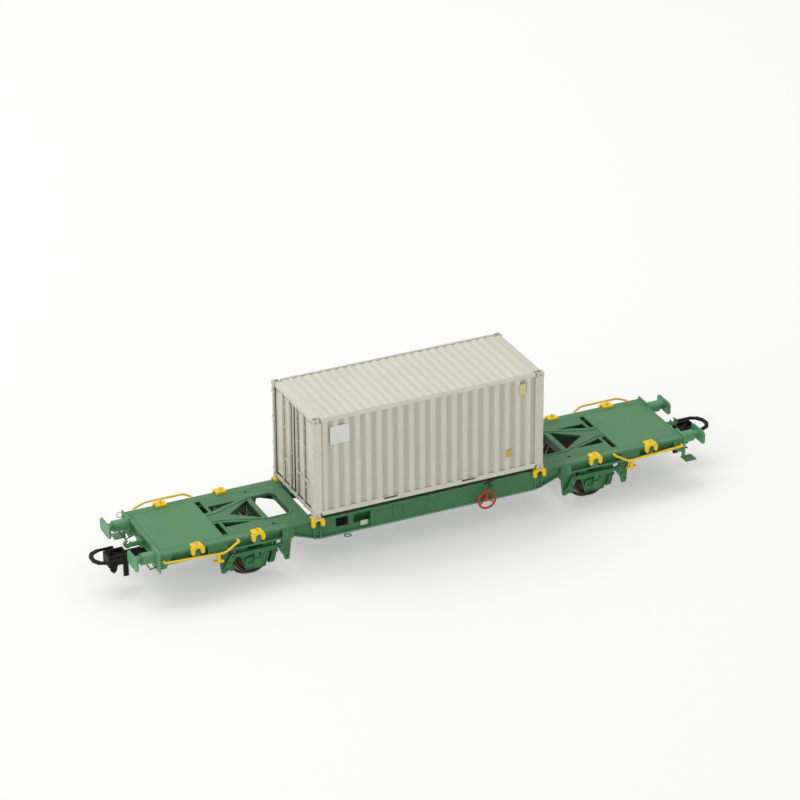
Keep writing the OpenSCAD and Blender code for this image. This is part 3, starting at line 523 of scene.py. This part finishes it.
def blackened_wheel(name, axle_x):
    """Dark metal, bright where the distance from the axle is the tread's."""
    material = satin_paint(name, tone(66, 52, 46), dust=0.0, drift=0.25, metallic=0.75,
                           gloss=(0.32, 0.5), wear_and_highlight=0.3, wear_and_highlight_colour=tone(150, 140, 130))
    tree = material.node_tree
    shifted = add(tree, "VectorMath", operation="SUBTRACT")
    tree.links.new(add(tree, "TexCoord").outputs["Object"], shifted.inputs[0])
    shifted.inputs[1].default_value = (axle_x, 0, AXLE_Z)
    only_xz = add(tree, "VectorMath", operation="MULTIPLY")
    tree.links.new(shifted.outputs["Vector"], only_xz.inputs[0])
    only_xz.inputs[1].default_value = (1, 0, 1)
    reach = add(tree, "VectorMath", operation="LENGTH")
    tree.links.new(only_xz.outputs["Vector"], reach.inputs[0])
    rising = remap(tree, reach.outputs["Value"], *TREAD_INNER)
    falling = remap(tree, reach.outputs["Value"], *TREAD_OUTER)
    repaint(material, product(tree, rising, falling), tone(176, 170, 162))
    return material


wheel_left = blackened_wheel("wheel_metal_left", -AXLE_X)
wheel_right = blackened_wheel("wheel_metal_right", AXLE_X)
print("wheel finishes ready")

# %% [markdown]
# ## Dressing the CAD parts
# Every part keeps its exact shape and only changes its finish, so we just swap what is
# in its material slots.

# %% Finishes on the parts
DRESS = {
    green_beam: ["side_beams", "cross_members"],
    green_frame: ["side_sills_left", "side_sills_right", "headstocks",
                  "draw_hooks", "corner_steps"],
    green_arm: ["open_frame_left", "open_frame_right"],
    green_deck: ["deck_plate_left", "deck_plate_right"],
    green_running: ["axle_guards", "leaf_springs", "axle_boxes", "brake_cylinder",
                    "brake_gear"],
    green_buffer: ["buffers"],
    yellow_fitting: ["twist_locks_20ft", "twist_locks_30ft", "twist_locks_40ft",
                     "handrails_near", "handrails_far", "change_over_handles"],
    red_wheel: ["brake_wheels"],
    coupler_black: ["coupler_left", "coupler_right", "coupler_loop_left",
                    "coupler_loop_right"],
    wire_black: ["shunter_handles"],
    wheel_left: ["wheelset_left"],
    wheel_right: ["wheelset_right"],
    box_side: ["container_front", "front_posts", "corner_castings", "container_floor"],
    box_wall: ["container_side_near", "container_side_far"],
    box_roof: ["container_roof"],
    box_door: ["door_frame", "door_near", "door_far", "door_hinges", "locking_bars"],
    box_plates: ["side_plates"],
}
for finish, nodes in DRESS.items():
    for node in nodes:
        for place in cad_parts[node].material_slots:
            place.material = finish
bare = set(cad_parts) - {n for nodes in DRESS.values() for n in nodes}
print("dressed", len(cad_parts) - len(bare), "parts; bare:", sorted(bare))

# %% [markdown]
# ## Tools for small fittings
# The fittings are tiny, so each starts as a primitive at its real size and place, gets
# its shape in edit mode, and ends with its place baked into its mesh. Helpers do the
# repeated part of that: they start a box or a round bar, copy a piece to the other end,
# join several, and finish one.

# %% Helpers that start a piece
def pick(piece):
    """Make one piece the only selected and the active one."""
    quiet()
    piece.select_set(True)
    bpy.context.view_layer.objects.active = piece


def bake_place():
    """Write the new object's place, turn and size into its mesh."""
    bpy.ops.object.transform_apply(location=True, rotation=True, scale=True)


def soften_edges(offset):
    """Bevel every edge of the active piece, in millimetres."""
    bpy.ops.object.mode_set(mode="EDIT")
    bpy.ops.mesh.select_all(action="SELECT")
    bpy.ops.mesh.bevel(offset=offset * MM, segments=2, affect="EDGES")
    bpy.ops.object.mode_set(mode="OBJECT")


def box_between(name, lo, hi, bevel=0.0):
    """A box from its low to its high corner, in millimetres, bevelled where asked."""
    quiet()
    lo, hi = Vector(lo) * MM, Vector(hi) * MM
    bpy.ops.mesh.primitive_cube_add(size=1, location=(lo + hi) / 2, scale=hi - lo)
    piece = bpy.context.object
    piece.name = name
    bake_place()
    if bevel:
        soften_edges(bevel)
    return piece


def bar_between(name, a, b, d, sides=14):
    """A round bar from point a to point b, in millimetres."""
    quiet()
    a, b = Vector(a) * MM, Vector(b) * MM
    bpy.ops.mesh.primitive_cylinder_add(
        vertices=sides, radius=d / 2 * MM, depth=(b - a).length, location=(a + b) / 2,
        rotation=(b - a).to_track_quat("Z", "Y").to_euler())
    piece = bpy.context.object
    piece.name = name
    bake_place()
    return piece


# %% Helpers that copy, join and finish
def half_turn_copy(piece, name):
    """A copy turned half way round the wagon's upright axis, with its own mesh."""
    pick(piece)
    bpy.ops.object.duplicate()
    twin = bpy.context.object
    bpy.ops.transform.rotate(value=math.pi, orient_axis="Z", center_override=(0, 0, 0))
    bake_place()
    twin.name = name
    return twin


def join(name, pieces):
    """Several meshes as one piece."""
    quiet()
    for piece in pieces:
        piece.select_set(True)
    bpy.context.view_layer.objects.active = pieces[0]
    bpy.ops.object.join()
    pieces[0].name = name
    return pieces[0]


def fit_out(piece, material, body, smooth=35):
    """Smooth, paint and fasten a finished piece."""
    pick(piece)
    bpy.ops.object.mode_set(mode="EDIT")
    bpy.ops.mesh.select_all(action="SELECT")
    bpy.ops.mesh.normals_make_consistent(inside=False)
    bpy.ops.object.mode_set(mode="OBJECT")
    bpy.ops.object.shade_smooth_by_angle(angle=math.radians(smooth))
    piece.data.materials.clear()
    piece.data.materials.append(material)
    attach(piece, body)
    print(piece.name, len(piece.data.polygons), "faces")
    return piece


def corner(node, which):
    """A corner of a CAD part's box in millimetres: 0 is the lowest, 1 the highest."""
    return Vector(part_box(node)[which]) / MM


DECK_Z = corner("deck_plate_left", 1).z
BELLY_Z = corner("side_beams", 0).z
LIP_PAST_RAIL, RAIL_PAST_WEB = 0.05, 0.7
SIDE_Y = corner("side_beams", 1).y
WEB_Y = SIDE_Y - LIP_PAST_RAIL - RAIL_PAST_WEB
print("deck top", round(DECK_Z, 2), "belly", round(BELLY_Z, 2))

# %% [markdown]
# ## Grille and pocket in the middle beam
# Near one end each middle beam carries a small black louvre and, beside it, an open
# pocket with a pale blank tag. The louvre is a thin frame cut from a box by inset and
# extrude, with one slat that an array repeats; the pocket is a box opened on one face.
# Picking faces by the way that they look is safer than picking them by number, because
# it still works when a size changes.

# %% Helpers that pick faces and apply modifiers
def face_towards(piece, direction, limit=0.9):
    """Select in edit mode only the faces that look in a direction."""
    pick(piece)
    for polygon in piece.data.polygons:
        polygon.select = polygon.normal.dot(Vector(direction)) > limit
    for edge in piece.data.edges:
        edge.select = False
    for vertex in piece.data.vertices:
        vertex.select = False
    for polygon in piece.data.polygons:
        if polygon.select:
            for i in polygon.vertices:
                piece.data.vertices[i].select = True
    bpy.ops.object.mode_set(mode="EDIT")
    bpy.context.tool_settings.mesh_select_mode = (False, False, True)


def apply_modifier(piece, kind, **settings):
    """Add a modifier to the active piece and turn its result into mesh."""
    modifier = piece.modifiers.new(kind.lower(), kind)
    for key, value in settings.items():
        setattr(modifier, key, value)
    bpy.ops.object.modifier_apply(modifier=modifier.name)


# %% Louvre
LOUVRE_X = (-27.8, -24.4)
LOUVRE_Z = (DECK_Z - 3.6, DECK_Z - 1.0)
LOUVRE_RIM, LOUVRE_DEPTH = 0.22 * MM, 0.25 * MM
SLAT_COUNT, SLAT_PITCH = 6, 0.35 * MM
louvre = box_between("louvre_near", (LOUVRE_X[0], -WEB_Y - 0.35, LOUVRE_Z[0]),
                     (LOUVRE_X[1], -WEB_Y + 0.05, LOUVRE_Z[1]))
face_towards(louvre, (0, -1, 0))
bpy.ops.mesh.inset(thickness=LOUVRE_RIM)
bpy.ops.mesh.extrude_region_move(TRANSFORM_OT_translate={"value": (0, LOUVRE_DEPTH, 0)})
bpy.ops.object.mode_set(mode="OBJECT")
slat = box_between("louvre_slat", (LOUVRE_X[0] + 0.2, -WEB_Y - 0.3, LOUVRE_Z[0] + 0.3),
                   (LOUVRE_X[1] - 0.2, -WEB_Y - 0.1, LOUVRE_Z[0] + 0.45), 0.03)
apply_modifier(slat, "ARRAY", count=SLAT_COUNT, use_relative_offset=False,
               use_constant_offset=True, constant_offset_displace=(0, 0, SLAT_PITCH))
louvre = join("louvre_near", [louvre, slat])
for piece in (louvre, half_turn_copy(louvre, "louvre_far")):
    fit_out(piece, coupler_black, "wagon")

# %% Pocket
POCKET_X = (-22.7, -17.5)
POCKET_Z = (BELLY_Z + 2.2, DECK_Z - 0.7)
POCKET_WALL = 0.15 * MM
pocket = box_between("beam_pocket_near", (POCKET_X[0], -WEB_Y + 0.6, POCKET_Z[0]),
                     (POCKET_X[1], -WEB_Y + 1.8, POCKET_Z[1]))
face_towards(pocket, (0, -1, 0))
bpy.ops.mesh.delete(type="ONLY_FACE")
bpy.ops.object.mode_set(mode="OBJECT")
apply_modifier(pocket, "SOLIDIFY", thickness=POCKET_WALL, offset=1)
for piece in (pocket, half_turn_copy(pocket, "beam_pocket_far")):
    fit_out(piece, green_running, "wagon")

# %% Blank tag on its stalk
TAG_X, STALK_X = (-20.9, -18.8), (-20.3, -19.4)
tag = box_between("pocket_tag_near", (TAG_X[0], -WEB_Y - 0.95, BELLY_Z + 1.6),
                  (TAG_X[1], -WEB_Y - 0.75, BELLY_Z + 3.0), 0.05)
stalk = box_between("tag_stalk", (STALK_X[0], -WEB_Y - 0.8, BELLY_Z + 1.8),
                    (STALK_X[1], -WEB_Y + 0.05, BELLY_Z + 2.15), 0.03)
tag = join("pocket_tag_near", [tag, stalk])
for piece in (tag, half_turn_copy(tag, "pocket_tag_far")):
    fit_out(piece, plate_grey, "wagon")

# %% [markdown]
# ## Door seals
# Real container doors close on black rubber. A thin dark frame in the gap round each
# leaf draws the doors far better than any shading trick. Each seal is a flat box with
# its front face inset and the middle removed.

# %% Door seals
SEAL_GROW, SEAL_WIDTH, SEAL_DEPTH = 0.19, 0.32, 0.08


def seal_round(name, node):
    """A rubber frame that fills the gap round a door leaf."""
    lo, hi = corner(node, 0), corner(node, 1)
    grow = SEAL_GROW
    seal = box_between(name, (lo.x - 0.07, lo.y - grow, lo.z - grow),
                       (lo.x + 0.5, hi.y + grow, hi.z + grow))
    face_towards(seal, (1, 0, 0))
    bpy.ops.mesh.delete(type="ONLY_FACE")
    bpy.ops.object.mode_set(mode="OBJECT")
    face_towards(seal, (-1, 0, 0))
    bpy.ops.mesh.inset(thickness=(grow + SEAL_WIDTH) * MM)
    bpy.ops.mesh.delete(type="ONLY_FACE")
    bpy.ops.object.mode_set(mode="OBJECT")
    apply_modifier(seal, "SOLIDIFY", thickness=SEAL_DEPTH * MM, offset=-1)
    return fit_out(seal, seal_rubber, "container")


seal_rubber = satin_paint("door_seal_rubber", tone(40, 40, 36), dust=0.03,
                          gloss=(0.55, 0.7))
# grey for the strips behind the locking bars: dirt and the bars' painted shade
bar_dirt_and_shade_grey = satin_paint("bar_dirt_and_shade_paint", tone(150, 144, 126), dust=0.03,
                         gloss=(0.5, 0.65))
# dark paint for the fork pockets' mouths: painted shade inside the openings
mouth_shade_paint = satin_paint("fork_pocket_painted_shade", tone(58, 48, 40), dust=0.0, gloss=(0.6, 0.75))
seal_round("door_seal_near", "door_near")
seal_round("door_seal_far", "door_far")

# %% [markdown]
# ## Backing strips and fork pockets
# A locking bar runs in front of a grey strip, painted darker than the door for dirt and
# for the bar's shade, and a lift truck's forks enter two mouths in each bottom rail, painted
# dark for the shade inside them. Both show as colour on a plain face, so thin boxes laid
# on the parts are enough, and they need no hole in the exact shapes.

# %% Backing strips and fork pocket mouths
BAR_Y, STRIP_HALF = (-7.0, -2.3, 2.3, 7.0), 0.34
MOUTH_X, MOUTH_Y, MOUTH_HALF = 11.8, 13.55, 2.04
leaf_low, leaf_high = corner("door_near", 0), corner("door_far", 1)
# strips behind the locking bars, darker than the door: dirt and painted shade
strips = [box_between("strip", (leaf_low.x - 0.08, y - STRIP_HALF, leaf_low.z + 0.3),
                      (leaf_low.x + 0.05, y + STRIP_HALF, leaf_high.z - 0.3), 0.03)
          for y in BAR_Y]
fit_out(join("bar_backing", strips), bar_dirt_and_shade_grey, "container")
# dark boxes in the fork pockets: painted shade inside the openings
mouths = [box_between("mouth", (x - MOUTH_HALF, side * MOUTH_Y - 0.2, leaf_low.z - 0.44),
                      (x + MOUTH_HALF, side * MOUTH_Y + 0.2, leaf_low.z + 0.04))
          for side in (-1, 1) for x in (-MOUTH_X, MOUTH_X)]
fit_out(join("fork_pocket_mouths", mouths), mouth_shade_paint, "container")

# %% [markdown]
# ## Bolt heads
# Moulded bolt heads tell the eye how big the real wagon is. One hexagonal head is
# shaped from a six-sided cylinder with a bevelled top, and copied wherever the wagon
# has one: round the buffers, on the headstocks and beside the locks.

# %% Bolt heads
BOLT_ROOT, BOLT_CHAMFER = 0.05, 0.05


def bolt_head(centre, outward, d=0.42, rise=0.2):
    """One hexagonal head, rooted a little way inside the face that it stands on."""
    a = Vector(centre) - Vector(outward) * BOLT_ROOT
    head = bar_between("bolt", a, a + Vector(outward) * (rise + BOLT_ROOT), d, 6)
    face_towards(head, outward)
    bpy.ops.mesh.inset(thickness=BOLT_CHAMFER * MM)
    bpy.ops.transform.translate(value=Vector(outward) * BOLT_CHAMFER * MM)
    bpy.ops.object.mode_set(mode="OBJECT")
    return head


HEAD_X = corner("headstocks", 1).x - 0.9
BUFFER_Y, BUFFER_Z = 10.2, 13.2
BUFFER_BOLT_Y, BUFFER_BOLT_Z = 1.75, 1.35
LEFTWARDS, NEARWARDS = (-1, 0, 0), (0, -1, 0)
heads = []
for side in (-1, 1):
    for dy in (-BUFFER_BOLT_Y, BUFFER_BOLT_Y):
        for dz in (-BUFFER_BOLT_Z, BUFFER_BOLT_Z):
            heads.append(bolt_head((-HEAD_X - 0.5, side * BUFFER_Y + dy, BUFFER_Z + dz),
                                   LEFTWARDS))
    for y in (2.2, 3.4, 6.6):
        heads.append(bolt_head((-HEAD_X, side * y, DECK_Z - 0.35), LEFTWARDS, 0.34, 0.12))
end_bolts = join("end_bolts_left", heads)
for piece in (end_bolts, half_turn_copy(end_bolts, "end_bolts_right")):
    fit_out(piece, green_buffer, "wagon", 20)

# %% Bolt heads along the sills
SILL_Y = corner("side_sills_left", 1).y
heads = []
for x in (-78.0, -73.8, -64.9, -61.3, -56.0, -47.5):
    heads.append(bolt_head((x, -SILL_Y + 0.05, DECK_Z - 0.35), NEARWARDS, 0.36, 0.12))
for x in (-43.4, -41.1):
    for z in (DECK_Z - 0.9, DECK_Z - 3.1):
        heads.append(bolt_head((x, -SILL_Y, z), NEARWARDS, 0.42, 0.14))
sill_bolts = join("sill_bolts_near", heads)
pick(sill_bolts)
apply_modifier(sill_bolts, "MIRROR", use_axis=(True, False, False))
for piece in (sill_bolts, half_turn_copy(sill_bolts, "sill_bolts_far")):
    fit_out(piece, green_frame, "wagon", 20)

# %% [markdown]
# ## Ribs on the open frames
# The diagonal arms carry a low raised edge on both sides of the middle line. Each is a
# short box turned to its direction, and the set is mirrored to all four corners.

# %% Ribs
RIB_WIDTH, RIB_RISE, RIB_BEVEL = 0.5, 0.22, 0.05


def rib_between(a, b):
    """A low rib on the deck between two points of its plan, in millimetres."""
    quiet()
    a, b = Vector((*a, 0)) * MM, Vector((*b, 0)) * MM
    middle = (a + b) / 2 + Vector((0, 0, DECK_Z + RIB_RISE / 2 - 0.05)) * MM
    bpy.ops.mesh.primitive_cube_add(
        size=1, location=middle, rotation=(0, 0, math.atan2((b - a).y, (b - a).x)),
        scale=((b - a).length, RIB_WIDTH * MM, (RIB_RISE + 0.1) * MM))
    piece = bpy.context.object
    piece.name = "rib"
    bake_place()
    soften_edges(RIB_BEVEL)
    return piece


ARM_RIBS = (((59.7, 2.1), (57.4, 2.1)), ((57.4, 2.1), (47.2, 6.0)),
            ((47.2, 6.1), (45.3, 6.75)))
HEXAGON = ((45.4, 6.75), (39.2, 6.75), (37.8, 5.5))
ribs = [rib_between(a, b) for a, b in (*ARM_RIBS, *zip(HEXAGON, HEXAGON[1:]))]
arm_ribs = join("arm_ribs_right", ribs)
pick(arm_ribs)
apply_modifier(arm_ribs, "MIRROR", use_axis=(False, True, False))
for piece in (arm_ribs, half_turn_copy(arm_ribs, "arm_ribs_left")):
    fit_out(piece, green_deck, "wagon")

# %% [markdown]
# ## Trays under the slots
# The narrow slots beside the deck plates look down on a dark plate, not on the ground.
# One tray is bent up at both ends from a flat box by extruding its end faces.

# %% Trays
TRAY_X, TRAY_HALF_WIDTH = (56.4, 62.6), 10.4
BENT_OUT, BENT_UP = 0.3 * MM, 0.5 * MM
tray = box_between("slot_tray_right", (TRAY_X[0], -TRAY_HALF_WIDTH, DECK_Z - 2.9),
                   (TRAY_X[1], TRAY_HALF_WIDTH, DECK_Z - 2.7))
for side in (1, -1):
    face_towards(tray, (0, side, 0))
    bpy.ops.mesh.extrude_region_move(
        TRANSFORM_OT_translate={"value": (0, side * BENT_OUT, BENT_UP)})
    bpy.ops.object.mode_set(mode="OBJECT")
for piece in (tray, half_turn_copy(tray, "slot_tray_left")):
    fit_out(piece, tray_green, "wagon")

# %% [markdown]
# ## End plates
# A broad plate stands behind each buffer, a little higher and lower than the headstock.
# It is a box with softened edges, mirrored to all four corners.

# %% End plates
PLATE_X = -79.6
PLATE_Y, PLATE_Z = (-13.9, -8.5), (9.7, 15.6)
end_plates = box_between("end_plates", (PLATE_X - 0.44, PLATE_Y[0], PLATE_Z[0]),
                         (PLATE_X + 0.1, PLATE_Y[1], PLATE_Z[1]), 0.1)
pick(end_plates)
apply_modifier(end_plates, "MIRROR", use_axis=(True, True, False))
fit_out(end_plates, green_buffer, "wagon")

# %% [markdown]
# ## Wire fittings
# Under the container's edge sits a small curled bracket, a ring hangs below the flange,
# and a thin yellow loop stands on a corner. All three are bent wire: a circle is
# extruded and turned step by step round each bend, which is what spin does.

# %% Bent wire
MIN_STEPS, DEGREES_A_STEP, WELD = 6, 15, 0.002


def bent_ring(name, centre, radius, thickness, normal, start=0, turn=360):
    """Part of a ring of round wire, in the plane across its normal."""
    quiet()
    n = Vector(normal).normalized()
    u = n.orthogonal().normalized()
    v = n.cross(u)
    first = u * math.cos(math.radians(start)) + v * math.sin(math.radians(start))
    c = Vector(centre) * MM
    bpy.ops.mesh.primitive_circle_add(
        vertices=10, radius=thickness / 2 * MM,
        fill_type="NGON" if turn < 360 else "NOTHING",
        location=c + first * radius * MM,
        rotation=n.cross(first).to_track_quat("Z", "Y").to_euler())
    ring = bpy.context.object
    ring.name = name
    bake_place()
    bpy.ops.object.mode_set(mode="EDIT")
    bpy.ops.mesh.select_all(action="SELECT")
    bpy.ops.mesh.spin(steps=max(MIN_STEPS, int(turn / DEGREES_A_STEP)),
                      angle=math.radians(turn), center=c, axis=n)
    bpy.ops.mesh.select_all(action="SELECT")
    bpy.ops.mesh.remove_doubles(threshold=WELD * MM)
    bpy.ops.object.mode_set(mode="OBJECT")
    return ring


# %% Curled brackets
CURL_Y, CURL_WIRE, CURL_FOOT_X = -SIDE_Y - 0.35, 0.38, 16.8
curl = bent_ring("curl", (18.9, CURL_Y, DECK_Z - 0.7), 0.85, CURL_WIRE, (0, 1, 0), 0, 250)
arm = bar_between("curl_arm", (16.6, CURL_Y, DECK_Z - 0.25), (18.6, CURL_Y, DECK_Z + 0.12),
                  CURL_WIRE)
root = bar_between("curl_root", (CURL_FOOT_X, CURL_Y, DECK_Z - 0.25),
                   (CURL_FOOT_X, -SIDE_Y + 0.1, DECK_Z - 0.25), CURL_WIRE)
curl = join("curled_bracket_near", [curl, arm, root])
curl_far = half_turn_copy(curl, "curled_bracket_far")
print("curled bracket", len(curl.data.polygons), "faces")

# %% Tie-down rings and the corner loop
RING_Y, RING_WIRE, STEM_X = -SIDE_Y + 0.9, 0.3, -25.2
eyelet = bent_ring("eyelet", (-24.3, RING_Y, BELLY_Z - 1.2), 0.95, RING_WIRE, (0, 0.15, 1))
stem = bar_between("eyelet_stem", (STEM_X, RING_Y, BELLY_Z + 0.05),
                   (STEM_X, RING_Y, BELLY_Z - 1.2), RING_WIRE)
eyelet = join("tie_down_ring_near", [eyelet, stem])
eyelet_far = half_turn_copy(eyelet, "tie_down_ring_far")
corner_loop = bent_ring("corner_loop", (-80.7, 13.3, 14.6), 0.85, 0.26, (0, 1, 0))
fit_out(corner_loop, yellow_fitting, "wagon", 60)
for piece in (curl, curl_far):
    fit_out(piece, wire_black, "wagon", 60)
for piece in (eyelet, eyelet_far):
    fit_out(piece, green_running, "wagon", 60)
